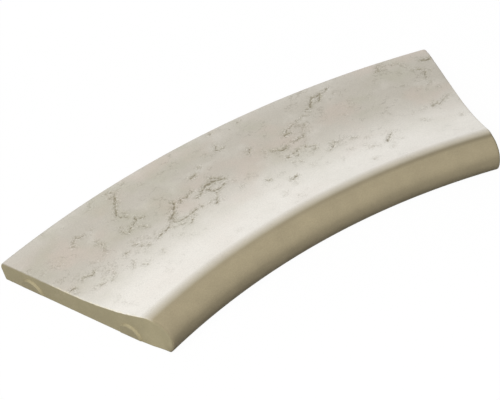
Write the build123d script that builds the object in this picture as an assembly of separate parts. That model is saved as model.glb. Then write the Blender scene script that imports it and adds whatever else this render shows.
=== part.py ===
from build123d import *

import os
from math import radians, sqrt

# Curved coping stone for the rim of a round pool, cast in one piece.
#
# The stone is a segment of a ring. Its section has a full rounded nose that overhangs the water, a
# hollow ramp that falls from the nose's crest to a flat slab, and a plain outer edge. Each end carries
# two half-moon spacing lugs that set the joint to the next stone of the ring.
#
# Millimetres. +Z is up and the stone lies on its underside at Z = 0. The nose faces -Y and the outer
# edge +Y. The origin is the middle of the bounding box's underside.

# Plan of the ring
nose_radius = 755.0  # ring centre to the tip of the nose
width = 330.0  # tip of the nose to the outer edge
stones_in_ring = 9
joint = 7.0  # parallel gap between two neighbours

# Heights
slab_thickness = 32.5
crest_height = 53.0
tip_height = 32.0  # where the nose reaches furthest over the water
nose_foot_height = 4.5  # lower corner of the nose, lifted clear of the bed

# Section, setbacks measured from the tip of the nose
crest_setback = 26.0  # start of the level crest
ramp_top_setback = 36.0  # where the ramp's hollow would reach the crest's height
ramp_foot_setback = 180.0  # where the ramp runs out into the flat slab
crest_blend_radius = 45.0
undercut_radius = 38.0  # front of the nose below its tip
nose_foot_fillet = 3.0
relief_setback = 74.0  # where the underside starts to lift towards the nose
relief_blend_radius = 120.0
outer_edge_fillet = 12.0
bed_fillet = 2.0

# Ends
arris_radius = 1.5
lug_radius = 20.0  # at the end face, centred on the bed
lug_face_radius = 17.0
lug_thickness = joint / 2  # two facing lugs fill the joint
lug_foot_height = 2.5  # the lug springs from the end face this far above the bed
nose_lug_setback = 82.0
outer_lug_setback = 270.0

outer_radius = nose_radius + width
half_pitch = 180.0 / stones_in_ring


def make_section():
    """Section of the stone in the XZ plane, X being the distance from the ring's centre."""
    rise = crest_height - slab_thickness
    run = ramp_foot_setback - ramp_top_setback
    ramp_radius = (run**2 + rise**2) / (2 * rise)
    drop = tip_height - nose_foot_height
    undercut = undercut_radius - sqrt(undercut_radius**2 - drop**2)

    tip = (nose_radius, tip_height)
    crest = (nose_radius + crest_setback, crest_height)
    ramp_top = (nose_radius + ramp_top_setback, crest_height)
    ramp_foot = (nose_radius + ramp_foot_setback, slab_thickness)
    outer_top = (outer_radius, slab_thickness)
    outer_foot = (outer_radius, 0)
    relief_start = (nose_radius + relief_setback, 0)
    nose_foot = (nose_radius + undercut, nose_foot_height)

    with BuildSketch() as sketch:
        with BuildLine():
            EllipticalCenterArc(
                (crest[0], tip_height), crest_setback, crest_height - tip_height, start_angle=90, arc_size=90
            )
            Line(crest, ramp_top)
            RadiusArc(ramp_top, ramp_foot, -ramp_radius)
            Polyline(ramp_foot, outer_top, outer_foot, relief_start, nose_foot)
            RadiusArc(nose_foot, tip, undercut_radius)
        make_face()
        blends = (
            (ramp_top, crest_blend_radius),
            (outer_top, outer_edge_fillet),
            (outer_foot, bed_fillet),
            (relief_start, relief_blend_radius),
            (nose_foot, nose_foot_fillet),
        )
        for point, radius in blends:
            fillet(sketch.vertices().sort_by_distance((*point, 0))[0], radius)
    return sketch.sketch


def end_frame(side):
    """Frame of the end face on one side, half a joint inside the ring's radius: Y up, Z out of the stone."""
    along = Vector(1, 0, 0).rotate(Axis.Z, 90 - side * half_pitch)
    away = along.cross(Vector(0, 0, 1)) * side
    return Plane(origin=away * (-joint / 2), x_dir=along * side, z_dir=away)


def make_lug(side, setback):
    """Half-moon lug on an end face, bevelled back at its foot so that it never touches the bed."""
    disc = Cone(lug_radius, lug_face_radius, lug_thickness, align=(Align.CENTER, Align.CENTER, Align.MIN))
    with BuildSketch(Plane.YZ) as foot:
        with BuildLine():
            Polyline(
                (-lug_radius, 0),
                (lug_foot_height, 0),
                (lug_foot_height + lug_thickness, lug_thickness),
                (-lug_radius, lug_thickness),
                close=True,
            )
        make_face()
    below = extrude(foot.sketch, lug_radius, both=True)
    return end_frame(side) * Pos(side * (nose_radius + setback), 0, 0) * (disc - below)


def make_stone():
    """The whole stone about the ring's centre, its middle on +Y."""
    start = Rotation(0, 0, 90 - half_pitch) * (Plane.XZ * make_section())
    body = revolve(start, Axis.Z, 2 * half_pitch)
    for side in (-1, 1):
        body = split(body, end_frame(side), keep=Keep.BOTTOM)
    for side in (-1, 1):
        end = end_frame(side)
        end_face = body.faces().sort_by(Axis(end.origin, end.z_dir))[-1]
        body = fillet(end_face.edges(), arris_radius)
    for side in (-1, 1):
        for setback in (nose_lug_setback, outer_lug_setback):
            body += make_lug(side, setback)
    return body


stone = make_stone()
middle = stone.bounding_box().center()
stone = Pos(-middle.X, -middle.Y, 0) * stone

os.makedirs("parts", exist_ok=True)
export_step(stone, "parts/coping_stone.step")
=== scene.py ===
from math import atan2, cos, hypot, pi, radians, sin, sqrt, tan

import bmesh
import bpy
import numpy as np
from bpy.props import FloatProperty, FloatVectorProperty, PointerProperty
from mathutils import Matrix, Vector, noise


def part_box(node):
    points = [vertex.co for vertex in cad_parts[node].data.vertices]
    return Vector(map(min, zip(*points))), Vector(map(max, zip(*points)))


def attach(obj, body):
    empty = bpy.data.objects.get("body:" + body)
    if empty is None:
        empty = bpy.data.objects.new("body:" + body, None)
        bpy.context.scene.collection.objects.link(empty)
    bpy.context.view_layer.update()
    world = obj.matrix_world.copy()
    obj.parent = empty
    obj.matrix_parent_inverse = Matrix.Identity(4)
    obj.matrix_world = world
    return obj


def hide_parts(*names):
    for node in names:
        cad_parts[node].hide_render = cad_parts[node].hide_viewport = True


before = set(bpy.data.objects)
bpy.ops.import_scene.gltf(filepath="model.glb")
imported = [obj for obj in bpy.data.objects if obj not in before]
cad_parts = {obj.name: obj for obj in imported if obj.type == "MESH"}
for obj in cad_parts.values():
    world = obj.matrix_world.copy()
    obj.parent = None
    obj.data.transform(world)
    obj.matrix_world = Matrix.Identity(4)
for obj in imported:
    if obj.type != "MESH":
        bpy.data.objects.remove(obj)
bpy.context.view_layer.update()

bl_info = {
    "name": "Curved pool coping stone",
    "version": (1, 0, 0),
    "blender": (4, 5, 0),
    "location": "3D Viewport > Sidebar > Coping",
    "description": "Models, weathers and finishes a cast coping stone in the frame of its solid",
    "category": "Add Mesh",
}

MM = 0.001
NODE_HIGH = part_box("coping_stone")[1]

# Places along the section, in millimetres: setbacks are measured from the nose's tip
CREST_SETBACK = 26.0
RAMP_TOP_SETBACK = 36.0
RAMP_FOOT_SETBACK = 180.0
CREST_BLEND = 45.0
NOSE_FOOT_HEIGHT = 4.5
NOSE_FOOT_FILLET = 3.0
RELIEF_SETBACK = 74.0
RELIEF_BLEND = 120.0
BED_FILLET = 2.0

# Spacing of the vertices round the nose and along the ring, and distances that count as none
NOSE_SPACING = 1.9
RING_SPACING = 2.5
TOUCHING = 0.02
WELDED = 0.05

# Ends of the stone
STONES_IN_RING = 9
HALF_PITCH = radians(180 / STONES_IN_RING)
ROUNDING_STEPS = 3
LUG_TAPER = 1.0
LUG_FOOT_HEIGHT = 2.5
LUG_FACE_BEVEL = 0.7
LUG_SINK = 0.5
LUG_CORNERS = 72
# Each lug's setback, the height of its centre and its share of the lugs' radius
LUGS = ((78.5, 5.5, 0.93), (268.5, 1.5, 1.07))
# An end's cap has more corners than this
CAP_CORNERS = 100

# Weathering, in millimetres. Vertices less than this below the section's top line belong to the face
# itself, or to the face with its rounded arrises.
FACE_SKIN = 0.4
ARRIS_SKIN = 2.5
# How far a fissure's dip reaches and how much further its edge may stray. Faces with fewer corners than
# this, and nearer than this to a fissure's line, are divided.
FISSURE_REACH = 8.0
FISSURE_STRAY = 1.0
DIVIDED_REACH = 2.6
DIVIDED_CORNERS = 6
FAR_AWAY = 1e6
# Nicks in the face's end arrises
NICKED_STRIP = 1.8
NICK_DEPTH = 0.5
# Where the wear of an end sets in, in front of the crest's start or behind the outer edge's
WEAR_START = (-16, 4)
# The pale face fades out between these upward shares of the normal, and these drops over the outer edge. The
# fade is partly the face's own paler colour and partly painted light: faces that point up are painted lighter
# and the sides darker.
# Faces nearer than the margin to the end's plane belong to the body.
PALE_RISE = (0.2, 0.6)
PALE_DROP = (3, 10)
END_MARGIN = 0.05
SMOOTH_ANGLE = radians(40)
# Setbacks between which an end's arris passes from the ramp's look to that of the level part
LEVEL_STRETCH = (205, 245)

# Fissures and pits of the face, read one by one: a width in millimetres and a share of the full depth, then
# points, each a distance along the middle arc, to the right as seen from the nose, and a setback from it.
FISSURES = (
    (3.0, 0.5, (-190, 304), (-190, 307), (-187, 312), (-184, 313)),
    (3.0, 0.7, (-163, 313), (-157, 310), (-153, 304), (-154, 301), (-160, 297), (-165, 299)),
    (2.2, 0.6, (-154, 301), (-148, 304), (-141, 312), (-135, 311)),
    (2.2, 1.0, (-159, 294), (-163, 287), (-170, 275), (-176, 265), (-181, 256)),
    (3.0, 0.4, (-166, 279), (-161, 280)),
    (2.5, 0.6, (-181, 256), (-177, 257), (-173, 255), (-170, 249)),
    (4.0, 0.8, (-179, 248), (-176, 244), (-173, 239)),
    (2.8, 0.6, (-193, 228), (-198, 219), (-198, 214), (-196, 208)),
    (3.6, 0.8, (-192, 209), (-186, 215), (-179, 219), (-171, 222), (-169, 230)),
    (3.5, 0.9, (-165, 222), (-162, 220)),
    (2.5, 0.7, (-177, 209), (-174, 205), (-171, 196)),
    (3.2, 0.75, (-248, 261), (-244, 266), (-239, 268), (-236, 263), (-232, 262)),
    (3.0, 0.6, (-254, 257), (-251, 252)),
    (2.5, 0.4, (-227, 253), (-219, 256), (-217, 267)),
    (3.0, 0.6, (-230, 236), (-230, 229), (-229, 219), (-231, 214), (-240, 201)),
    (3.0, 0.5, (-234, 229), (-233, 227)),
    (3.0, 0.4, (-260, 203), (-255, 198), (-250, 196)),
    (3.0, 0.3, (-290, 262), (-285, 255), (-282, 249)),
    (3.0, 0.5, (-288, 243), (-285, 239)),
    (2.4, 0.5, (-310, 248), (-305, 252)),
    (2.6, 0.3, (-313, 272), (-309, 262)),
    (3.0, 0.3, (-288, 203), (-287, 199)),
    (3.4, 0.9, (-313, 187), (-309, 188), (-307, 185)),
    (2.6, 0.4, (-313, 180), (-312, 174)),
    (3.2, 0.8, (-291, 190), (-284, 191), (-280, 188), (-277, 185), (-271, 186)),
    (3.0, 0.55, (-263, 175), (-259, 171), (-258, 165), (-260, 158), (-265, 154), (-272, 149)),
    (3.4, 0.5, (-296, 158), (-293, 159)),
    (3.6, 0.6, (-287, 158), (-281, 156), (-278, 157)),
    (2.8, 0.65, (-226, 174), (-223, 178), (-220, 176)),
    (2.0, 0.6, (-239, 142), (-231, 151), (-228, 155)),
    (3.0, 0.65, (-206, 182), (-203, 179), (-199, 178), (-202, 171), (-196, 167), (-192, 163)),
    (3.0, 0.5, (-204, 190), (-203, 186)),
    (2.6, 0.6, (-200, 160), (-196, 162)),
    (2.0, 0.4, (-197, 186), (-194, 190), (-188, 178), (-184, 173)),
    (3.0, 0.4, (-206, 156), (-203, 154)),
    (2.2, 0.4, (-215, 163), (-207, 170)),
    (3.4, 0.8, (-178, 164), (-171, 166), (-166, 167), (-159, 169), (-152, 171)),
    (3.0, 0.6, (-152, 171), (-147, 176), (-144, 181), (-140, 185)),
    (4.4, 1.0, (-141, 183), (-137, 186), (-132, 189)),
    (4.0, 1.0, (-128, 195), (-125, 199), (-120, 203), (-118, 210)),
    (3.0, 0.4, (-176, 171), (-172, 177)),
    (3.6, 0.8, (-143, 175), (-139, 170), (-134, 167), (-125, 168), (-117, 168), (-106, 171)),
    (3.0, 0.6, (-150, 167), (-148, 163)),
    (3.4, 0.7, (-142, 164), (-137, 158), (-134, 157)),
    (3.6, 0.8, (-129, 151), (-126, 153), (-122, 156)),
    (3.2, 0.7, (-117, 160), (-115, 164)),
    (3.6, 0.8, (-112, 202), (-109, 204), (-106, 209), (-100, 205), (-96, 207), (-92, 210), (-87, 210)),
    (3.0, 0.3, (-164, 147), (-160, 151)),
    (4.0, 0.4, (-156, 138), (-152, 140)),
    (3.0, 0.3, (-146, 127), (-143, 122)),
    (4.0, 0.6, (-226, 137), (-223, 131)),
    (3.0, 0.4, (-219, 137), (-216, 133)),
    (3.0, 0.6, (-196, 131), (-193, 133), (-190, 137)),
    (5.0, 0.3, (-219, 91), (-218, 88)),
    (3.4, 0.25, (-206, 101), (-203, 104)),
    (2.4, 0.25, (-200, 86), (-193, 92), (-186, 99)),
    (3.0, 0.3, (-303, 109), (-296, 112), (-291, 115)),
    (2.6, 0.3, (-300, 94), (-296, 100)),
    (2.6, 0.25, (-300, 93), (-296, 84), (-295, 77)),
    (7.0, 1.0, (-68, 205), (-60, 206), (-52, 206)),
    (5.0, 0.9, (-51, 205), (-46, 201), (-40, 199)),
    (6.0, 0.7, (-136, 184), (-140, 178), (-135, 172)),
    (4.6, 1.0, (-78, 197), (-75, 200), (-72, 203), (-68, 206), (-61, 207)),
    (4.6, 1.0, (-57, 212), (-54, 208), (-50, 206)),
    (3.6, 0.9, (-53, 214), (-50, 212), (-46, 207), (-44, 202), (-40, 199)),
    (4.6, 0.8, (-74, 200), (-70, 196), (-68, 191), (-65, 186)),
    (3.8, 0.8, (-65, 185), (-56, 184), (-50, 187), (-46, 190)),
    (4.6, 0.6, (-61, 203), (-55, 200), (-50, 201), (-49, 195)),
    (8.0, 0.55, (-66, 205), (-58, 205), (-50, 203), (-46, 200)),
    (5.0, 0.5, (-74, 199), (-70, 196), (-66, 190)),
    (3.4, 0.8, (-76, 199), (-81, 196), (-86, 193), (-91, 192)),
    (3.2, 0.6, (-106, 170), (-102, 171)),
    (4.0, 0.7, (-98, 171), (-95, 168)),
    (3.4, 0.6, (-86, 167), (-82, 168), (-79, 170)),
    (3.0, 0.7, (-65, 181), (-67, 176), (-71, 169), (-75, 165)),
    (3.2, 0.9, (-75, 165), (-79, 158)),
    (3.0, 0.4, (-69, 161), (-68, 158)),
    (5.0, 0.9, (-71, 238), (-67, 239), (-64, 240)),
    (3.4, 0.8, (-51, 252), (-50, 250)),
    (3.6, 0.5, (-34, 184), (-33, 182)),
    (2.6, 0.4, (-38, 157), (-34, 161), (-31, 166)),
    (2.4, 0.2, (-76, 268), (-71, 276)),
    (2.8, 0.7, (-8, 282), (-11, 275), (-13, 269)),
    (3.4, 0.8, (-14, 270), (-12, 267), (-9, 266), (-5, 268)),
    (3.0, 0.3, (-1, 275), (4, 273), (8, 276)),
    (3.0, 0.6, (-1, 312), (0, 315)),
    (3.4, 0.6, (40, 311), (43, 311)),
    (2.8, 0.4, (37, 308), (39, 306)),
    (3.6, 0.8, (20, 234), (18, 230), (16, 224)),
    (3.2, 0.4, (12, 231), (14, 226), (16, 224)),
    (2.6, 0.4, (34, 217), (32, 207), (26, 195)),
    (2.8, 0.9, (42, 205), (48, 200), (53, 196)),
    (4.0, 0.9, (53, 195), (57, 196), (62, 200)),
    (4.2, 0.8, (49, 173), (52, 173)),
    (3.2, 0.5, (50, 158), (52, 154)),
    (4.0, 0.5, (59, 152), (60, 149)),
    (3.2, 0.8, (61, 177), (66, 178), (69, 181), (73, 182)),
    (3.2, 0.8, (62, 167), (66, 170)),
    (3.0, 0.5, (72, 172), (75, 170)),
    (3.6, 0.8, (82, 183), (82, 179)),
    (3.0, 0.7, (85, 178), (90, 175), (94, 173), (92, 166), (87, 165)),
    (3.0, 0.5, (67, 208), (72, 205)),
    (3.4, 0.8, (72, 205), (80, 204), (85, 206), (91, 204), (94, 210)),
    (3.0, 0.5, (94, 210), (97, 219), (101, 226), (105, 233)),
    (2.8, 0.35, (91, 204), (88, 194), (85, 185)),
    (4.0, 1.0, (72, 226), (76, 229), (80, 227)),
    (3.0, 0.8, (78, 233), (82, 239), (87, 240)),
    (3.0, 0.6, (87, 240), (92, 244), (97, 244), (103, 249)),
    (2.4, 0.3, (81, 226), (86, 220)),
    (2.8, 0.5, (99, 236), (101, 232)),
    (3.4, 0.8, (0, 147), (2, 144)),
    (2.8, 0.6, (107, 247), (110, 252), (113, 256), (119, 251)),
    (3.0, 0.7, (102, 225), (104, 228), (107, 232)),
    (3.4, 0.4, (101, 208), (106, 214)),
    (3.0, 0.7, (121, 264), (125, 269), (127, 267)),
    (2.8, 0.6, (124, 260), (126, 258)),
    (4.0, 0.9, (131, 267), (133, 272), (135, 277)),
    (3.2, 0.8, (135, 277), (137, 281), (140, 288), (143, 294)),
    (3.6, 0.9, (144, 292), (150, 290), (156, 294)),
    (3.2, 0.9, (155, 293), (154, 288), (151, 283), (147, 277)),
    (2.8, 0.7, (147, 277), (142, 275), (137, 274)),
    (2.6, 0.6, (163, 295), (167, 300)),
    (3.4, 0.8, (166, 299), (169, 302)),
    (2.4, 0.4, (169, 302), (171, 307)),
    (2.4, 0.4, (172, 283), (170, 279), (168, 276)),
    (4.0, 0.25, (163, 247), (166, 243)),
    (3.6, 0.4, (179, 241), (182, 236), (184, 233)),
    (3.2, 0.4, (174, 230), (178, 232)),
    (4.0, 0.3, (206, 235), (210, 242), (215, 245)),
    (3.6, 0.35, (161, 217), (163, 215)),
    (3.4, 0.6, (243, 309), (247, 314), (252, 315)),
    (3.0, 0.7, (242, 298), (245, 304), (246, 308)),
    (3.4, 0.5, (249, 298), (254, 292)),
    (3.0, 0.6, (265, 306), (264, 303)),
    (3.0, 0.6, (271, 303), (275, 297), (278, 290), (280, 284)),
    (4.6, 1.0, (304, 293), (308, 292), (311, 290), (317, 293)),
    (3.0, 0.8, (287, 272), (292, 269), (297, 267)),
    (3.2, 0.8, (298, 258), (295, 250)),
    (3.4, 0.6, (296, 244), (291, 240)),
    (3.0, 0.6, (305, 260), (305, 257)),
    (4.0, 0.5, (258, 237), (261, 239)),
    (3.6, 0.5, (289, 221), (296, 226)),
    (2.8, 0.4, (271, 213), (276, 219)),
    (3.0, 0.4, (301, 209), (302, 205)),
    (3.0, 0.4, (258, 160), (263, 162), (267, 165)),
    (4.4, 0.3, (243, 158), (245, 162)),
    (4.0, 0.9, (277, 164), (280, 166), (283, 167)),
    (3.0, 0.7, (286, 163), (292, 168), (298, 173)),
    (3.4, 0.5, (298, 173), (302, 178), (308, 179)),
    (2.4, 0.4, (281, 177), (281, 175)),
    (3.2, 0.6, (104, 146), (108, 149), (112, 150)),
    (3.6, 0.8, (112, 150), (115, 154), (116, 161)),
    (3.2, 0.7, (116, 163), (121, 162), (124, 159)),
    (3.0, 0.6, (143, 152), (147, 152), (151, 151)),
    (3.6, 0.4, (161, 141), (165, 139)),
    (3.4, 0.6, (250, 135), (252, 132), (255, 129)),
    (5.0, 1.0, (26, 119), (29, 121), (34, 122)),
    (2.8, 0.4, (27, 113), (25, 108), (23, 103)),
    (3.6, 0.5, (-6, 91), (-2, 94), (2, 97)),
    (3.6, 0.4, (8, 69), (10, 72)),
    (3.4, 0.3, (12, 63), (14, 61)),
    (3.4, 0.35, (68, 131), (68, 127)),
    (3.0, 0.3, (-104, 70), (-101, 73)),
    (2.6, 0.2, (-9, 53), (-7, 56)),
    (3.2, 0.9, (181, 109), (184, 114), (188, 119), (194, 126)),
    (4.0, 0.4, (194, 126), (200, 129), (195, 136)),
    (4.4, 0.6, (154, 111), (157, 112)),
    (3.4, 0.4, (163, 109), (166, 108)),
    (3.4, 0.4, (150, 123), (152, 120)),
    (5.0, 0.4, (129, 127), (133, 127)),
    (4.0, 0.3, (107, 104), (110, 112)),
    (3.0, 0.4, (200, 106), (202, 104)),
    (3.2, 0.5, (179, 87), (182, 91), (186, 96)),
    (3.6, 0.5, (142, 76), (142, 73)),
    (3.0, 0.6, (304, 118), (303, 113)),
    (4.4, 0.25, (279, 76), (280, 73)),
)


def screen_tone(red, green, blue):
    """A colour as a screen shows it, 0 to 255, in the linear values that a material takes."""
    shares = [channel / 255 for channel in (red, green, blue)]
    return tuple(s / 12.92 if s <= 0.04045 else ((s + 0.055) / 1.055) ** 2.4 for s in shares)


def length(name, default, description, low=0.0):
    return FloatProperty(name=name, description=description, default=default * MM, min=low, unit="LENGTH")


def tint(name, default, description):
    return FloatVectorProperty(name=name, description=description, default=screen_tone(*default),
                               min=0, max=1, subtype="COLOR")


class CopingSizes(bpy.types.PropertyGroup):
    """Sizes of the stone"""
    nose_radius: length("Nose radius", 755, "Radius of the pool's curve at the nose's tip", 0.3)
    width: length("Width", 330, "From the nose's tip to the outer edge", 0.2)
    crest_height: length("Crest height", NODE_HIGH[2] / MM, "Height of the raised crest", 0.03)
    slab_thickness: length("Slab thickness", 32.5, "Height of the level part", 0.02)
    tip_height: length("Tip height", 32, "Height of the nose's foremost line", 0.01)
    undercut_radius: length("Undercut radius", 38, "Radius of the hollow under the nose", 0.03)
    outer_edge: length("Outer edge fillet", 12, "Rounding of the upper outer edge", 0.001)
    joint: length("Joint", 7, "Gap between two stones of the ring")
    arris: length("Arris", 1.5, "Rounding of the edges of both ends", 0.0005)
    lug_radius: length("Lug radius", 20, "Radius of a lug where it meets the end", 0.005)
    fissure_depth: length("Fissure depth", 1.1, "Depth of the deepest fissures")
    unevenness: length("Unevenness", 0.2, "How far the face sinks between its high places")
    end_wear: length("End wear", 4.0, "Rounding of the end arrises at the nose and the outer edge", 0.0015)


class CopingTones(bpy.types.PropertyGroup):
    """Colours and lamps of the stone and its stage"""
    # The face's pale tones against the body's khaki are partly the stone's own two colours and partly painted
    # light: a lit top against a nose, ends and underside in shade.
    face: tint("Face", (196, 190, 178), "Level part of the face")
    # The ramp's tone is partly a paler colour and partly a painted highlight from the light behind on the
    # ramp's tilt; it also paints highlights on the outer edge and the fissures' lips.
    ramp: tint("Ramp", (240, 236, 228), "Bleached ramp below the crest")
    body: tint("Body", (164, 152, 124), "Nose, ends and underside")
    end: tint("Ends", (169, 159, 128), "Both ends and the lugs")
    # Painted shade along the crest's start and under the nose, also on the nose's end arrises and along the
    # level part's end arris; the same tone darkens the lugs' faces.
    painted_shade: tint("Painted shade", (118, 109, 86), "Dirt along the crest and under the nose")
    # Painted shade in the fissures' floors and in the crumb specks round them; the same tone also paints the
    # fine veins and the scattered specks.
    fissure: tint("Fissures", (134, 126, 105), "Floor of the fissures")
    stain: tint("Stain", (166, 160, 136), "Stain in the dips round the fissures")
    blush: tint("Blush", (214, 190, 176), "Warm clouds in the face")
    lichen: tint("Lichen", (176, 176, 150), "Green grey clouds in the face")
    # Partly worn patches, partly a painted highlight where the face's end arris catches the light.
    worn: tint("Worn arris", (232, 224, 200), "Places where the face's end arris is worn")
    floor: tint("Floor", (130, 130, 129), "Studio floor")
    key_power: FloatProperty(name="Key", description="Power of the lamp at the front", default=74, min=0,
                             unit="POWER")
    rim_power: FloatProperty(name="Rim", description="Power of the lamp at the back", default=20, min=0,
                             unit="POWER")


def in_mm(name):
    """One of the panel's sizes, in millimetres."""
    return getattr(bpy.context.scene.coping_sizes, name) / MM


def in_paint(name):
    """One of the panel's colours, with its alpha."""
    return tuple(getattr(bpy.context.scene.coping_tones, name)) + (1.0,)


# Plan and section

def ring_centre_y():
    return NODE_HIGH[1] / MM - in_mm("nose_radius") - in_mm("width")


def middle_radius():
    return in_mm("nose_radius") + in_mm("width") / 2


def half_angle(radius):
    """Half the stone's angle at one radius: each end lies half a joint inside the ring's radius there."""
    return HALF_PITCH - np.arcsin(in_mm("joint") / 2 / radius)


def upright(setback, height):
    """A point of the section drawn in the plane x = 0, in metres."""
    return Vector((0, ring_centre_y() + in_mm("nose_radius") + setback, height)) * MM


def ramp_radius():
    rise = in_mm("crest_height") - in_mm("slab_thickness")
    run = RAMP_FOOT_SETBACK - RAMP_TOP_SETBACK
    return (run**2 + rise**2) / (2 * rise)


def crest_end_setback():
    """Where the level crest passes into the arc that leads down to the ramp."""
    reach = ramp_radius() + CREST_BLEND
    drop = in_mm("slab_thickness") + ramp_radius() - in_mm("crest_height") + CREST_BLEND
    return RAMP_FOOT_SETBACK - sqrt(reach**2 - drop**2)


def top_strokes():
    """The section from the crest to the foot of the outer edge, as lines and arcs.

    A line has its end and its spacing, an arc its centre, its end, its direction and its spacing.
    """
    fine = 2.4
    width, slab, edge = in_mm("width"), in_mm("slab_thickness"), in_mm("outer_edge")
    ramp = ramp_radius()
    ramp_centre = (RAMP_FOOT_SETBACK, slab + ramp)
    blend_centre = (crest_end_setback(), in_mm("crest_height") - CREST_BLEND)
    share = ramp / (ramp + CREST_BLEND)
    ramp_start = tuple(a + (b - a) * share for a, b in zip(ramp_centre, blend_centre))
    return (
        ("line", (crest_end_setback(), in_mm("crest_height")), fine),
        ("arc", blend_centre, ramp_start, -1, fine),
        ("arc", ramp_centre, (RAMP_FOOT_SETBACK, slab), 1, fine),
        ("line", (width - edge, slab), fine),
        ("arc", (width - edge, slab - edge), (width, slab - edge), -1, 1.6),
        ("line", (width, BED_FILLET), 3.0),
        ("arc", (width - BED_FILLET, BED_FILLET), (width - BED_FILLET, 0), -1, 0.8),
    )


def bed_strokes():
    """The section from the outer edge's foot along the bed and up the undercut to the nose's tip."""
    coarse = 9.0
    radius, tip = in_mm("undercut_radius"), in_mm("tip_height")
    foot_setback = radius - sqrt(radius**2 - (tip - NOSE_FOOT_HEIGHT) ** 2)
    slope = atan2(NOSE_FOOT_HEIGHT, RELIEF_SETBACK - foot_setback)
    shelf_x = foot_setback + NOSE_FOOT_FILLET * sin(slope) - radius
    shelf_z = NOSE_FOOT_HEIGHT + NOSE_FOOT_FILLET * cos(slope) - tip
    inner = radius - NOSE_FOOT_FILLET
    half = shelf_x * cos(slope) - shelf_z * sin(slope)
    travel = -half - sqrt(half**2 - (shelf_x**2 + shelf_z**2 - inner**2))
    centre_x = radius + shelf_x + travel * cos(slope)
    centre_z = tip + shelf_z - travel * sin(slope)
    foot_end = (centre_x - NOSE_FOOT_FILLET * sin(slope), centre_z - NOSE_FOOT_FILLET * cos(slope))
    share = radius / inner
    undercut_end = (radius + (centre_x - radius) * share, tip + (centre_z - tip) * share)
    tangent = RELIEF_BLEND * tan(slope / 2)
    relief_end = (RELIEF_SETBACK - tangent * cos(slope), tangent * sin(slope))
    return (
        ("line", (RELIEF_SETBACK + tangent, 0), coarse),
        ("arc", (RELIEF_SETBACK + tangent, RELIEF_BLEND), relief_end, -1, 3.0),
        ("line", foot_end, coarse),
        ("arc", (centre_x, centre_z), undercut_end, -1, 0.9),
        ("arc", (radius, tip), (0, tip), -1, 2.0),
    )


def face_height(setback):
    """Height of the stone's face at each setback, in millimetres."""
    crest, slab, edge = in_mm("crest_height"), in_mm("slab_thickness"), in_mm("outer_edge")
    radius = ramp_radius()
    fall = np.clip(RAMP_FOOT_SETBACK - setback, 0, radius)
    ramp = slab + radius - np.sqrt(radius**2 - fall**2)
    bulge = np.clip(setback - crest_end_setback(), 0, CREST_BLEND)
    blend = crest - CREST_BLEND + np.sqrt(CREST_BLEND**2 - bulge**2)
    share = np.clip(1 - setback / CREST_SETBACK, 0, 1)
    nose = in_mm("tip_height") + (crest - in_mm("tip_height")) * np.sqrt(1 - share**2)
    over = np.clip(setback - in_mm("width") + edge, 0, edge)
    outer = slab - edge + np.sqrt(edge**2 - over**2)
    inner = np.where(setback < CREST_SETBACK, nose, np.minimum(ramp, blend))
    return np.where(setback > RAMP_FOOT_SETBACK, outer, inner)


# Modelling by hand with Blender's operators

def only(obj):
    """Make one object the active and only selected one, in object mode."""
    if bpy.context.object and bpy.context.object.mode != "OBJECT":
        bpy.ops.object.mode_set(mode="OBJECT")
    bpy.ops.object.select_all(action="DESELECT")
    obj.select_set(True)
    bpy.context.view_layer.objects.active = obj


def edit(obj, kind="VERT"):
    only(obj)
    bpy.ops.object.mode_set(mode="EDIT")
    bpy.ops.mesh.select_mode(type=kind)


def choose(obj, test, part="verts"):
    """Select in edit mode the vertices, edges or faces that pass a test."""
    mesh = bmesh.from_edit_mesh(obj.data)
    for group in (mesh.verts, mesh.edges, mesh.faces):
        for item in group:
            item.select = False
    for item in getattr(mesh, part):
        if test(item):
            item.select = True
    mesh.select_flush(True)
    bmesh.update_edit_mesh(obj.data)


def choose_faces(obj, mask):
    """Select in object mode the faces that a mask names."""
    only(obj)
    for group in (obj.data.vertices, obj.data.edges):
        group.foreach_set("select", np.zeros(len(group), dtype=bool))
    obj.data.polygons.foreach_set("select", np.array(mask, dtype=bool))


def spin(steps, turn, centre, axis):
    """Spin what is selected by a right-handed turn, in radians: the operator's own angle is left-handed."""
    bpy.ops.mesh.spin(steps=steps, angle=-turn, center=centre, axis=axis)


def draw_arc(start, centre, end, direction, spacing):
    """Spin the chosen vertex round a centre, clockwise with direction -1 and the other way with 1."""
    radius = hypot(start[0] - centre[0], start[1] - centre[1])
    turn = atan2(end[1] - centre[1], end[0] - centre[0]) - atan2(start[1] - centre[1], start[0] - centre[0])
    turn = (turn * direction) % (2 * pi)
    steps = max(2, round(radius * turn / spacing))
    spin(steps, direction * turn, upright(*centre), (1, 0, 0))


def draw_line(start, end, spacing):
    steps = max(1, round(hypot(end[0] - start[0], end[1] - start[1]) / spacing))
    bpy.ops.mesh.extrude_repeat(steps=steps, offset=(upright(*end) - upright(*start)) / steps)


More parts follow.
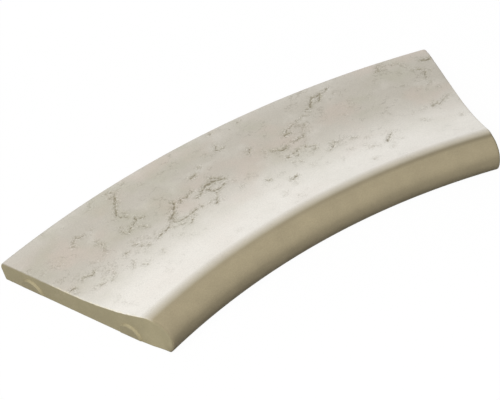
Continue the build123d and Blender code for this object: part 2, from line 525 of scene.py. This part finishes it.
def draw_section(stone):
    """Draw the section's outline in edit mode, from one vertex at the nose's tip."""
    tip = in_mm("tip_height")
    edit(stone)
    bpy.ops.mesh.merge(type="CENTER")
    # The nose's upper quarter is drawn as a circle, then pressed down to its height.
    bpy.ops.mesh.select_all(action="SELECT")
    spin(round(CREST_SETBACK * pi / 2 / NOSE_SPACING), -pi / 2, upright(CREST_SETBACK, tip), (1, 0, 0))
    bpy.ops.mesh.select_all(action="SELECT")
    press = (in_mm("crest_height") - tip) / CREST_SETBACK
    bpy.ops.transform.resize(value=(1, 1, press), center_override=upright(0, tip))
    at = (CREST_SETBACK, in_mm("crest_height"))
    for stroke in top_strokes() + bed_strokes():
        here = upright(*at)
        choose(stone, lambda vert: (vert.co - here).length < TOUCHING * MM)
        if stroke[0] == "line":
            draw_line(at, *stroke[1:])
            at = stroke[1]
        else:
            draw_arc(at, *stroke[1:])
            at = stroke[2]
    bpy.ops.mesh.select_all(action="SELECT")
    bpy.ops.mesh.remove_doubles(threshold=WELDED * MM)


def spin_the_ring():
    """Sweep the section just drawn round the ring's centre, from one end to the other."""
    centre = Vector((0, ring_centre_y(), 0)) * MM
    widest = float(half_angle(middle_radius()))
    bpy.ops.mesh.select_all(action="SELECT")
    bpy.ops.transform.rotate(value=widest, orient_axis="Z", center_override=centre)
    bpy.ops.mesh.select_all(action="SELECT")
    spin(round(2 * widest * middle_radius() / RING_SPACING), 2 * widest, centre, (0, 0, 1))
    bpy.ops.object.mode_set(mode="OBJECT")


# Vertices as arrays, in millimetres

def positions(obj):
    flat = np.empty(len(obj.data.vertices) * 3)
    obj.data.vertices.foreach_get("co", flat)
    return flat.reshape(-1, 3) / MM


def move_to(obj, places):
    obj.data.vertices.foreach_set("co", (places * MM).ravel())
    obj.data.update()


def unrolled(places):
    """Distance along the middle arc, setback from the nose's tip and height of each vertex."""
    y = places[:, 1] - ring_centre_y()
    radius = np.hypot(places[:, 0], y)
    return np.arctan2(places[:, 0], y) * middle_radius(), radius - in_mm("nose_radius"), places[:, 2]


def smooth(values, low, high):
    share = np.clip((values - low) / (high - low), 0, 1)
    return share * share * (3 - 2 * share)


def cloud(places, size, seed=0.0):
    """Smooth noise between about -1 and 1 at each vertex, with features of a size in millimetres."""
    shift = Vector((seed, seed * 1.7, seed * 0.6))
    return np.array([noise.noise(Vector(place) / size + shift) for place in places])


# Ends and lugs

def end_axes(side):
    """Directions outwards along one end and away from the stone, and a point of its plane, in metres."""
    along = Vector((side * sin(HALF_PITCH), cos(HALF_PITCH), 0))
    away = Vector((side * cos(HALF_PITCH), -sin(HALF_PITCH), 0))
    return along, away, (Vector((0, ring_centre_y(), 0)) - away * in_mm("joint") / 2) * MM


def square_the_ends(stone):
    """Turn each vertex a little, so that both ends lie half a joint inside the ring's radii."""
    places = positions(stone)
    along, setback = unrolled(places)[:2]
    radius = setback + in_mm("nose_radius")
    turn = along / middle_radius() * half_angle(radius) / half_angle(middle_radius())
    places[:, 0] = radius * np.sin(turn)
    places[:, 1] = radius * np.cos(turn) + ring_centre_y()
    move_to(stone, places)


def close_the_ends(stone):
    """Fill both ends and round their arrises."""
    edit(stone, "EDGE")
    bpy.ops.mesh.select_all(action="SELECT")
    bpy.ops.mesh.fill_holes(sides=0)
    bpy.ops.mesh.select_all(action="SELECT")
    bpy.ops.mesh.normals_make_consistent(inside=False)
    choose(stone, lambda edge: any(len(face.verts) > CAP_CORNERS for face in edge.link_faces), "edges")
    bpy.ops.mesh.bevel(offset=in_mm("arris") * MM, segments=ROUNDING_STEPS, affect="EDGES")
    bpy.ops.object.mode_set(mode="OBJECT")


def add_lug(side, setback, height, share):
    """One half-moon lug on an end, its foot bevelled back above the bed."""
    radius = in_mm("lug_radius") * share
    proud = in_mm("joint") / 2
    along, away, middle = end_axes(side)
    foot = middle + along * (in_mm("nose_radius") + setback) * MM
    centre = foot + Vector((0, 0, height)) * MM
    turn = Matrix((along, away.cross(along), away)).transposed()
    bpy.ops.object.select_all(action="DESELECT")
    bpy.ops.mesh.primitive_cone_add(
        vertices=LUG_CORNERS, radius1=(radius + LUG_TAPER / proud * LUG_SINK) * MM,
        radius2=(radius - LUG_TAPER) * MM, depth=(proud + LUG_SINK) * MM,
        location=centre + away * (proud - LUG_SINK) / 2 * MM, rotation=turn.to_euler())
    lug = bpy.context.object
    bpy.ops.object.transform_apply(location=True, rotation=True, scale=True)
    edit(lug, "EDGE")
    bpy.ops.mesh.select_all(action="SELECT")
    bevel = foot + Vector((0, 0, LUG_FOOT_HEIGHT)) * MM
    bpy.ops.mesh.bisect(plane_co=bevel, plane_no=Vector((0, 0, 1)) - away, use_fill=True, clear_inner=True)
    face = middle + away * proud * MM
    choose(lug, lambda edge: all(abs((v.co - face).dot(away)) < TOUCHING * MM for v in edge.verts), "edges")
    bpy.ops.mesh.bevel(offset=LUG_FACE_BEVEL * MM, segments=ROUNDING_STEPS, affect="EDGES")
    bpy.ops.object.mode_set(mode="OBJECT")
    return lug


def apply_modifier(obj, kind, **settings):
    only(obj)
    bpy.ops.object.modifier_add(type=kind)
    modifier = obj.modifiers[-1]
    for name, value in settings.items():
        setattr(modifier, name, value)
    bpy.ops.object.modifier_apply(modifier=modifier.name)


def cast_lugs(stone):
    """Make the four lugs and unite them with the stone."""
    lugs = [add_lug(side, *lug) for side in (-1, 1) for lug in LUGS]
    only(lugs[0])
    for lug in lugs:
        lug.select_set(True)
    bpy.ops.object.join()
    cutter = bpy.context.object
    apply_modifier(stone, "BOOLEAN", operation="UNION", solver="MANIFOLD", object=cutter)
    bpy.data.objects.remove(cutter)


# Weathering of the face

def distance_to(points, along, setback):
    """Distance of each vertex from a fissure's line, in millimetres."""
    least = np.full(len(along), FAR_AWAY)
    for (x0, y0), (x1, y1) in zip(points, points[1:]):
        run, rise = x1 - x0, y1 - y0
        share = np.clip(((along - x0) * run + (setback - y0) * rise) / (run**2 + rise**2), 0, 1)
        least = np.minimum(least, np.hypot(along - x0 - share * run, setback - y0 - share * rise))
    return least


def near_fissures(along, setback, reach):
    """For each fissure, which vertices lie within reach of its box."""
    for width, share, *points in FISSURES:
        xs, ys = zip(*points)
        close = (along > min(xs) - reach) & (along < max(xs) + reach)
        close &= (setback > min(ys) - reach) & (setback < max(ys) + reach)
        yield width, share, points, close


def meander(spots, seed):
    """How far a fissure strays from its line at each vertex, in millimetres."""
    return 1.4 * cloud(spots, 6, seed) + 1.1 * cloud(spots, 2.2, seed + 6)


def fissure_fields(places):
    """How deep each vertex lies in a fissure, its share of the dip round one, and its nearest distance."""
    along, setback, height = unrolled(places)
    on_face = height > face_height(setback) - FACE_SKIN
    close = np.zeros(len(places), dtype=bool)
    for *_, near in near_fissures(along, setback, FISSURE_REACH + FISSURE_STRAY):
        close |= near
    which = np.nonzero(close & on_face)[0]
    spots = places[which]
    along = along[which] + meander(spots, 11)
    setback = setback[which] + meander(spots, 23)
    swell = 1 + 0.5 * cloud(spots, 5) + 0.5 * cloud(spots, 1.8, 3)
    broken = smooth(cloud(spots, 4.5, 41) + 0.4 * cloud(spots, 1.7, 43), -0.45, 0.15)
    depth, dip = np.zeros((2, len(places)))
    nearest = np.full(len(places), FAR_AWAY)
    for width, share, points, near in near_fissures(along, setback, FISSURE_REACH):
        far = distance_to(points, along[near], setback[near])
        inside = which[near]
        half = width / 2 * swell[near]
        cut = share * (0.45 + 0.55 * broken[near]) * np.exp(-1.3 * (far / half) ** 2)
        sag = share * np.exp(-(far / (width + 2.5)) ** 2)
        depth[inside] = np.maximum(depth[inside], cut)
        dip[inside] = np.maximum(dip[inside], sag)
        nearest[inside] = np.minimum(nearest[inside], far)
    return depth, dip, nearest


def divide_along_fissures(stone):
    """Divide the faces along the fissures, so that they can be carved finely."""
    nearest = fissure_fields(positions(stone))[2]
    mask = [len(face.vertices) < DIVIDED_CORNERS and min(nearest[v] for v in face.vertices) < DIVIDED_REACH
            for face in stone.data.polygons]
    choose_faces(stone, mask)
    bpy.ops.object.mode_set(mode="EDIT")
    bpy.ops.mesh.select_mode(type="FACE")
    bpy.ops.mesh.subdivide(number_cuts=2)
    bpy.ops.object.mode_set(mode="OBJECT")


def set_attribute(stone, name, domain, values):
    layer = stone.data.attributes.new(name, "FLOAT", domain)
    layer.data.foreach_set("value", np.asarray(values, dtype=np.float32))


def mark_face(stone, setback, height, end):
    """Mark at each face's corners how far it belongs to the pale face, which ends at the stone's ends. The
    share follows how far each face points up, so besides the face's own paler colour it paints light on the
    top and shade on the sides and over the outer edge.
    """
    mesh = stone.data
    corners = np.empty(len(mesh.loops), dtype=np.int32)
    mesh.loops.foreach_get("vertex_index", corners)
    counts = [len(face.vertices) for face in mesh.polygons]
    up = np.repeat([face.normal.z for face in mesh.polygons], counts)
    within = np.add.reduceat(end[corners], [face.loop_start for face in mesh.polygons]) / counts
    over_edge = setback > in_mm("width") - in_mm("outer_edge")
    drop = np.where(over_edge, in_mm("slab_thickness") - height, 0)
    pale = smooth(up, *PALE_RISE) * (1 - smooth(drop[corners], *PALE_DROP))
    set_attribute(stone, "face", "CORNER", pale * (np.repeat(within, counts) > END_MARGIN))


def drawn_in(end, radius):
    """How far a rounding draws a surface in, at each distance from the end."""
    return radius - np.sqrt(radius**2 - np.clip(radius - end, 0, radius) ** 2)


def wear_the_ends(places, end):
    """Round the end arrises further, at both ends of the nose and at the right end of the outer edge.

    Each vertex is drawn towards the middle of its rounding: a line in the nose, or one behind the outer edge.
    """
    along, setback, height = unrolled(places)
    edge, tip = in_mm("outer_edge"), in_mm("tip_height")
    at_nose = setback < in_mm("width") / 2
    middle = np.where(at_nose, CREST_SETBACK, in_mm("width") - edge)
    lowest = np.where(at_nose, tip, BED_FILLET)
    highest = np.where(at_nose, tip, in_mm("slab_thickness") - edge)
    back, lift = middle - setback, np.clip(height, lowest, highest) - height
    worn = smooth(np.where(at_nose, back, -back), *WEAR_START) * (at_nose | (along > 0))
    extra = drawn_in(end, in_mm("end_wear")) - drawn_in(end, in_mm("arris"))
    share = extra * worn / np.hypot(back, lift).clip(1)
    outward = places[:, :2] - (0, ring_centre_y())
    outward /= np.hypot(*outward.T)[:, None]
    places[:, :2] += outward * (share * back)[:, None]
    places[:, 2] += share * lift


def weather(stone):
    """Carve the fissures, let the face sink between its high places, nick its arrises and wear its ends."""
    divide_along_fissures(stone)
    places = positions(stone)
    along, setback, height = unrolled(places)
    end = half_angle(setback + in_mm("nose_radius")) * middle_radius() - np.abs(along)
    mark_face(stone, setback, height, end)
    depth, dip = fissure_fields(places)[:2]
    face = height > face_height(setback) - ARRIS_SKIN
    sink = np.zeros(len(places))
    spots = places[face]
    swell = 0.5 + 0.5 * cloud(spots, 45, 5) + 0.25 * cloud(spots, 12, 7)
    sink[face] = in_mm("unevenness") * swell.clip(0, 1)
    arris = face & (end < NICKED_STRIP)
    spots = places[arris]
    sink[arris] += NICK_DEPTH * smooth(cloud(spots, 5, 13) + 0.5 * cloud(spots, 16, 19), 0.1, 0.6)
    places[:, 2] -= in_mm("fissure_depth") * (depth + 0.25 * dip) + sink
    wear_the_ends(places, end)
    move_to(stone, places)
    for name, values in (("fissure", depth), ("dip", dip), ("setback", setback), ("end", end)):
        set_attribute(stone, name, "POINT", values)
    only(stone)
    bpy.ops.object.shade_smooth_by_angle(angle=SMOOTH_ANGLE)
    apply_modifier(stone, "WEIGHTED_NORMAL", mode="FACE_AREA", keep_sharp=True, weight=100)


# Finish

class Finish:
    """A material under construction, with short calls that add and link its nodes."""

    def __init__(self, name):
        self.material = bpy.data.materials.new(name)
        self.material.use_nodes = True
        self.tree = self.material.node_tree
        self.surface = self.tree.nodes["Principled BSDF"]
        self.place = self.node("ShaderNodeTexCoord").outputs["Object"]

    def node(self, kind, **settings):
        node = self.tree.nodes.new(kind)
        for name, value in settings.items():
            setattr(node, name, value)
        return node

    def put(self, socket, value):
        """Link an output to a socket, or set the socket to a plain value."""
        if isinstance(value, bpy.types.NodeSocket):
            self.tree.links.new(value, socket)
        else:
            socket.default_value = value

    def attribute(self, name):
        return self.node("ShaderNodeAttribute", attribute_name=name).outputs["Fac"]

    def noise(self, size, detail=4.0, roughness=0.6, shift=0.0):
        """Noise with features of a size in millimetres."""
        move = self.node("ShaderNodeMapping")
        self.put(move.inputs["Vector"], self.place)
        self.put(move.inputs["Location"], (shift, shift * 0.7, shift * 1.3))
        noise_node = self.node("ShaderNodeTexNoise")
        self.put(noise_node.inputs["Vector"], move.outputs["Vector"])
        self.put(noise_node.inputs["Scale"], 1 / (size * MM))
        self.put(noise_node.inputs["Detail"], detail)
        self.put(noise_node.inputs["Roughness"], roughness)
        return noise_node.outputs["Fac"]

    def math(self, operation, *values):
        node = self.node("ShaderNodeMath", operation=operation)
        for socket, value in zip(node.inputs, values):
            self.put(socket, value)
        return node.outputs[0]

    def product(self, *factors):
        result = factors[0]
        for factor in factors[1:]:
            result = self.math("MULTIPLY", result, factor)
        return result

    def span(self, value, low, high, to_low=0.0, to_high=1.0, shape="SMOOTHSTEP"):
        """A value's step from low to high."""
        node = self.node("ShaderNodeMapRange", interpolation_type=shape)
        names = ("Value", "From Min", "From Max", "To Min", "To Max")
        for name, number in zip(names, (value, low, high, to_low, to_high)):
            self.put(node.inputs[name], number)
        return node.outputs["Result"]

    def mix(self, share, first, second, blend="MIX"):
        node = self.node("ShaderNodeMix", data_type="RGBA", blend_type=blend)
        for socket, value in zip((node.inputs[0], node.inputs[6], node.inputs[7]), (share, first, second)):
            self.put(socket, value)
        return node.outputs[2]

    def paint(self, share, tone, name):
        """Lay a share of one of the panel's colours over a tone."""
        return self.mix(share, tone, in_paint(name))

    def shade(self, tone, value):
        """A tone made darker or lighter, by a value round 1."""
        grey = self.node("ShaderNodeCombineColor")
        for socket in grey.inputs:
            self.put(socket, value)
        return self.mix(1.0, tone, grey.outputs["Color"], "MULTIPLY")

    def bump(self, height, distance, strength, under=None):
        node = self.node("ShaderNodeBump")
        self.put(node.inputs["Height"], height)
        self.put(node.inputs["Distance"], distance * MM)
        self.put(node.inputs["Strength"], strength)
        if under is not None:
            self.put(node.inputs["Normal"], under)
        return node.outputs["Normal"]


def face_tone(stone, setback):
    """Ramp below the crest lighter, partly a paler colour and partly a painted highlight from the light
    behind on its tilt; greyer level part, lighter towards the outer edge as a painted highlight where it
    rounds over; with warm and green clouds and fine veins.
    """
    # Painted light on the ramp: lighter towards the crest, partly a paler colour and partly the light from
    # behind on the ramp's tilt.
    level = stone.span(setback, 80, 222)
    tone = stone.paint(level, in_paint("ramp"), "face")
    # Painted highlight: lighter towards the outer edge, most where it rounds over.
    tone = stone.paint(stone.span(setback, 280, 326, 0.0, 0.2), tone, "ramp")
    strength = stone.math("MULTIPLY_ADD", level, 0.7, 0.3)
    for name, size, shift in (("blush", 75, 5.0), ("lichen", 60, 12.0)):
        clouds = stone.span(stone.noise(size, 4, 0.5, shift), 0.46, 0.7, 0.0, 0.24)
        tone = stone.paint(stone.product(clouds, strength), tone, name)
    bleached = stone.span(stone.noise(38, 3, 0.5, 21.0), 0.5, 0.8, 0.0, 0.25)
    tone = stone.paint(bleached, tone, "ramp")
    contour = stone.math("ABSOLUTE", stone.math("SUBTRACT", stone.noise(42, 6, 0.62, 51.0), 0.5))
    vein = stone.product(stone.span(contour, 0.0, 0.012, 0.45, 0.0),
                         stone.span(stone.noise(36, 2, 0.5, 57.0), 0.5, 0.6), strength)
    return stone.paint(vein, tone, "fissure")


def fissure_tone(stone, tone):
    """Floors of the fissures darkened with painted shade, and in the dips round them dark crumb specks and
    pale lip highlights: painted shade and painted highlights that make the fissures look embossed.
    """
    fissure, dip = stone.attribute("fissure"), stone.attribute("dip")
    ring = stone.product(dip, stone.span(fissure, 0.1, 0.5, 1.0, 0.0))
    stain = stone.product(dip, stone.span(stone.noise(6, 4, 0.6, 31.0), 0.36, 0.6), dip, 0.6)
    tone = stone.paint(stain, tone, "stain")
    # Painted highlights on the fissures' lips.
    lip_highlights = stone.product(ring, stone.span(stone.noise(2.6, 2, 0.5, 33.0), 0.54, 0.68, 0.0, 0.7))
    tone = stone.paint(lip_highlights, tone, "ramp")
    # Painted shade: dark crumb specks round the fissures.
    crumb_shade = stone.product(ring, stone.span(stone.noise(2.2, 2, 0.5, 35.0), 0.5, 0.62, 0.0, 0.7))
    tone = stone.paint(crumb_shade, tone, "fissure")
    # Painted shade deepening the fissures' floors.
    crumble = stone.math("MULTIPLY_ADD", stone.noise(1.8, 5, 0.7, 9.0), 0.9, -0.45)
    dark = stone.span(stone.math("ADD", fissure, crumble), 0.2, 0.8, 0.0, 0.8)
    return stone.paint(dark, tone, "fissure")


def painted_shade(stone, setback, end):
    """Share of painted shade on the body: darker along the crest's start towards the right and under the
    nose's foot, darker along the nose's end arrises where their rounding catches the light, and darker on the
    lugs' faces.
    """
    split = stone.node("ShaderNodeSeparateXYZ")
    stone.put(split.inputs[0], stone.place)
    across, height = split.outputs["X"], split.outputs["Z"]
    # Painted shade: a darker band at the crest's start, stronger towards the right end.
    crest = stone.product(stone.span(setback, 18, 25), stone.span(setback, 27, 34, 1.0, 0.0),
                          stone.span(across, -0.25, 0.3, 0.1, 0.6),
                          stone.span(height, 0.044, 0.05), stone.span(end, 0.1, 0.8))
    # Painted shade under the nose, darker towards its foot.
    foot = stone.product(stone.span(height, 0.006, 0.024, 0.5, 0.0), stone.span(setback, 8, 20, 1.0, 0.0))
    # Painted shade along the nose's end arrises, dulling the light that their rounding catches.
    arris = stone.product(stone.span(end, 0.05, 0.4), stone.span(end, 1.4, 4.0, 0.32, 0.0),
                          stone.span(setback, 20, 30, 1.0, 0.0))
    # Darker on the lugs' faces.
    lugs = stone.span(end, -3.0, -2.4, 0.22, 0.0)
    shade_share = crest
    for other in (foot, arris, lugs):
        shade_share = stone.math("MAXIMUM", shade_share, other)
    return shade_share


def body_tone(stone, setback, end):
    """Khaki nose and underside, partly their own colour and partly painted shade of the sides, with ends a
    little darker away from the nose, damp patches and painted shade laid over them.
    """
    damp = stone.span(stone.noise(45, 4, 0.6, 18.0), 0.35, 0.7, 0.94, 1.04)
    ends = stone.shade(in_paint("end"), stone.span(setback, 30, 75, 1.08, 1.0))
    body = stone.mix(stone.span(end, 0.3, 1.2, 1.0, 0.0), in_paint("body"), ends)
    # Painted shade laid over the body along the crest, under the nose, on the nose's end arrises and on the
    # lugs.
    return stone.paint(painted_shade(stone, setback, end), stone.shade(body, damp), "painted_shade")


def edge_tone(stone, tone, pale, setback, end):
    """The face's end arris: paler in places along the ramp, partly wear and partly a painted highlight where
    the edge catches the light; darkened with painted shade along the level part.
    """
    # Paler patches along the ramp's end arris: partly wear, partly a painted highlight where the edge catches
    # the light.
    patches = stone.span(stone.noise(9, 3, 0.6, 61.0), 0.42, 0.6)
    worn = stone.product(stone.span(end, 0.6, 2.6, 0.7, 0.0), patches,
                         stone.span(setback, *LEVEL_STRETCH, 1.0, 0.1), pale)
    tone = stone.paint(worn, tone, "worn")
    # Painted shade: a dark line along the level part's end arris.
    arris_shade = stone.product(stone.span(end, 0.3, 1.6, 0.4, 0.0), stone.span(setback, *LEVEL_STRETCH), pale)
    return stone.paint(arris_shade, tone, "painted_shade")


def cast_stone():
    """Cast stone: pale face and khaki body, partly the stone's own colours and partly painted light, a lit
    top against shaded sides; fissures darkened with painted shade; and a sandy grain.
    """
    stone = Finish("cast_stone")
    setback, end = stone.attribute("setback"), stone.attribute("end")
    drift = stone.math("MULTIPLY_ADD", stone.noise(24, 4), 14.0, -7.0)
    # From the crest onwards, faces that point up take the face's pale tones and the rest the body's khaki:
    # partly the stone's two colours, partly painted light, a lit top against shaded sides.
    pale = stone.product(stone.span(setback, 26, 51, shape="LINEAR"), stone.attribute("face"))
    tone = face_tone(stone, stone.math("ADD", setback, drift))
    tone = stone.mix(pale, body_tone(stone, setback, end), tone)
    tone = edge_tone(stone, tone, pale, setback, end)
    tone = fissure_tone(stone, tone)
    specks = stone.span(stone.noise(2.6, 3, 0.6, 15.0), 0.66, 0.76, 0.0, 0.35)
    tone = stone.paint(specks, tone, "fissure")
    tone = stone.shade(tone, stone.span(stone.noise(1.6, 6, 0.75), 0.25, 0.75, 0.88, 1.08))
    sand = stone.bump(stone.noise(1.3, 6, 0.75, 4.0), 0.35, 0.5)
    for name, value in (
            ("Base Color", tone),
            ("Specular IOR Level", 0.3),
            ("Roughness", stone.span(stone.noise(14, 4, 0.6, 27.0), 0.3, 0.7, 0.72, 0.88)),
            ("Normal", stone.bump(stone.noise(11, 3, 0.5, 8.0), 0.8, 0.25, sand))):
        stone.put(stone.surface.inputs[name], value)
    return stone.material


class COPING_OT_stone(bpy.types.Operator):
    """Cast the stone: draw its section, spin it, add the lugs, weather the face and finish it"""
    bl_idname = "coping.stone"
    bl_label = "Coping stone"

    def execute(self, context):
        bpy.ops.object.select_all(action="DESELECT")
        start = upright(0, in_mm("tip_height"))
        bpy.ops.mesh.primitive_plane_add(size=10 * MM, location=start)
        stone = context.object
        stone.name = "stone"
        bpy.ops.object.transform_apply(location=True, rotation=True, scale=True)
        draw_section(stone)
        spin_the_ring()
        square_the_ends(stone)
        close_the_ends(stone)
        cast_lugs(stone)
        weather(stone)
        stone.data.materials.clear()
        stone.data.materials.append(cast_stone())
        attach(stone, "root")
        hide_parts("coping_stone")
        return {"FINISHED"}


# Stage: the camera is worked out from the outline of the stone in the photograph
IMAGE_WIDTH = 500
LENS_PIXELS = 1144.5
SENSOR = 36.0
VIEW_AZIMUTH = 22.61
VIEW_ELEVATION = 35.80
VIEW_ROLL = -14.11
VIEW_TARGET = (-24.2, 24.7, 0.0)
VIEW_DISTANCE = 1620.6
FLOOR_SIZE = 12
FLOOR_ROUGHNESS = 0.9
FLOOR_WHITE = 0.85
FLOOR_GLOW = 1.14
SKY_STRENGTH = 0.3
KEY_PLACE = (-1.45, -1.6, 2.0)
KEY_SIZE = (1.6, 1.6)
RIM_PLACE = (0.6, 2.05, 0.7)
RIM_SIZE = (1.6, 0.7)


def add_camera():
    azimuth, elevation, roll = (radians(a) for a in (VIEW_AZIMUTH, VIEW_ELEVATION, VIEW_ROLL))
    forward = Vector((sin(azimuth) * cos(elevation), cos(azimuth) * cos(elevation), -sin(elevation)))
    level = Vector((cos(azimuth), -sin(azimuth), 0))
    upward = level.cross(forward)
    right = level * cos(roll) + upward * sin(roll)
    top = upward * cos(roll) - level * sin(roll)
    lens = bpy.data.cameras.new("camera")
    lens.sensor_width = SENSOR
    lens.lens = LENS_PIXELS / IMAGE_WIDTH * SENSOR
    camera = bpy.data.objects.new("camera", lens)
    bpy.context.scene.collection.objects.link(camera)
    place = (Vector(VIEW_TARGET) - forward * VIEW_DISTANCE) * MM
    turn = Matrix((right, top, -forward)).transposed().to_4x4()
    camera.matrix_world = Matrix.Translation(place) @ turn
    bpy.context.scene.camera = camera


def add_lamp(name, place, size, power):
    lamp_data = bpy.data.lights.new(name, "AREA")
    lamp_data.shape = "RECTANGLE"
    lamp_data.size, lamp_data.size_y = size
    lamp_data.energy = power
    lamp = bpy.data.objects.new(name, lamp_data)
    lamp.location = place
    lamp.rotation_euler = (-Vector(place)).to_track_quat("-Z", "Y").to_euler()
    bpy.context.scene.collection.objects.link(lamp)


def whiten(tree, shader, output, share, strength):
    """Show the camera and mirrors a white of its own, mixed with a shader that keeps the shadows."""
    path = tree.nodes.new("ShaderNodeLightPath")
    seen = tree.nodes.new("ShaderNodeMath")
    seen.operation = "MAXIMUM"
    part = tree.nodes.new("ShaderNodeMath")
    part.operation = "MULTIPLY"
    part.inputs[1].default_value = share
    white = tree.nodes.new("ShaderNodeEmission")
    white.inputs["Strength"].default_value = strength
    mix = tree.nodes.new("ShaderNodeMixShader")
    for source, target in (
            (path.outputs["Is Camera Ray"], seen.inputs[0]),
            (path.outputs["Is Glossy Ray"], seen.inputs[1]),
            (seen.outputs[0], part.inputs[0]),
            (part.outputs[0], mix.inputs[0]),
            (shader.outputs[0], mix.inputs[1]),
            (white.outputs[0], mix.inputs[2]),
            (mix.outputs[0], tree.nodes[output].inputs["Surface"])):
        tree.links.new(source, target)


def lay_floor():
    bpy.ops.object.select_all(action="DESELECT")
    bpy.ops.mesh.primitive_plane_add(size=FLOOR_SIZE)
    floor = bpy.context.object
    floor.name = "floor"
    paint = bpy.data.materials.new("floor")
    paint.use_nodes = True
    base = paint.node_tree.nodes["Principled BSDF"]
    base.inputs["Base Color"].default_value = in_paint("floor")
    base.inputs["Roughness"].default_value = FLOOR_ROUGHNESS
    base.inputs["Specular IOR Level"].default_value = 0.0
    whiten(paint.node_tree, base, "Material Output", FLOOR_WHITE, FLOOR_GLOW)
    floor.data.materials.append(paint)


def hang_sky():
    world = bpy.data.worlds.new("studio")
    bpy.context.scene.world = world
    world.use_nodes = True
    sky = world.node_tree.nodes["Background"]
    sky.inputs["Color"].default_value = (1, 1, 1, 1)
    sky.inputs["Strength"].default_value = SKY_STRENGTH
    whiten(world.node_tree, sky, "World Output", 1.0, 1.0)


class COPING_OT_stage(bpy.types.Operator):
    """Lay the floor, hang the lamps and set the camera"""
    bl_idname = "coping.stage"
    bl_label = "Stage"

    def execute(self, context):
        tones = context.scene.coping_tones
        lay_floor()
        hang_sky()
        add_lamp("key", KEY_PLACE, KEY_SIZE, tones.key_power)
        add_lamp("rim", RIM_PLACE, RIM_SIZE, tones.rim_power)
        add_camera()
        context.scene.view_settings.view_transform = "Standard"
        return {"FINISHED"}


class COPING_PT_panel(bpy.types.Panel):
    """Sizes, colours and steps of the coping stone"""
    bl_label = "Coping stone"
    bl_idname = "COPING_PT_panel"
    bl_space_type = "VIEW_3D"
    bl_region_type = "UI"
    bl_category = "Coping"

    def draw(self, context):
        for group in (context.scene.coping_sizes, context.scene.coping_tones):
            box = self.layout.box()
            for name in group.__annotations__:
                box.prop(group, name)
        for operator in (COPING_OT_stone, COPING_OT_stage):
            self.layout.operator(operator.bl_idname)


CLASSES = (CopingSizes, CopingTones, COPING_OT_stone, COPING_OT_stage, COPING_PT_panel)


def register():
    for item in CLASSES:
        bpy.utils.register_class(item)
    bpy.types.Scene.coping_sizes = PointerProperty(type=CopingSizes)
    bpy.types.Scene.coping_tones = PointerProperty(type=CopingTones)


def unregister():
    del bpy.types.Scene.coping_tones
    del bpy.types.Scene.coping_sizes
    for item in reversed(CLASSES):
        bpy.utils.unregister_class(item)


def main():
    register()
    bpy.ops.coping.stone()
    bpy.ops.coping.stage()


if __name__ == "__main__":
    main()
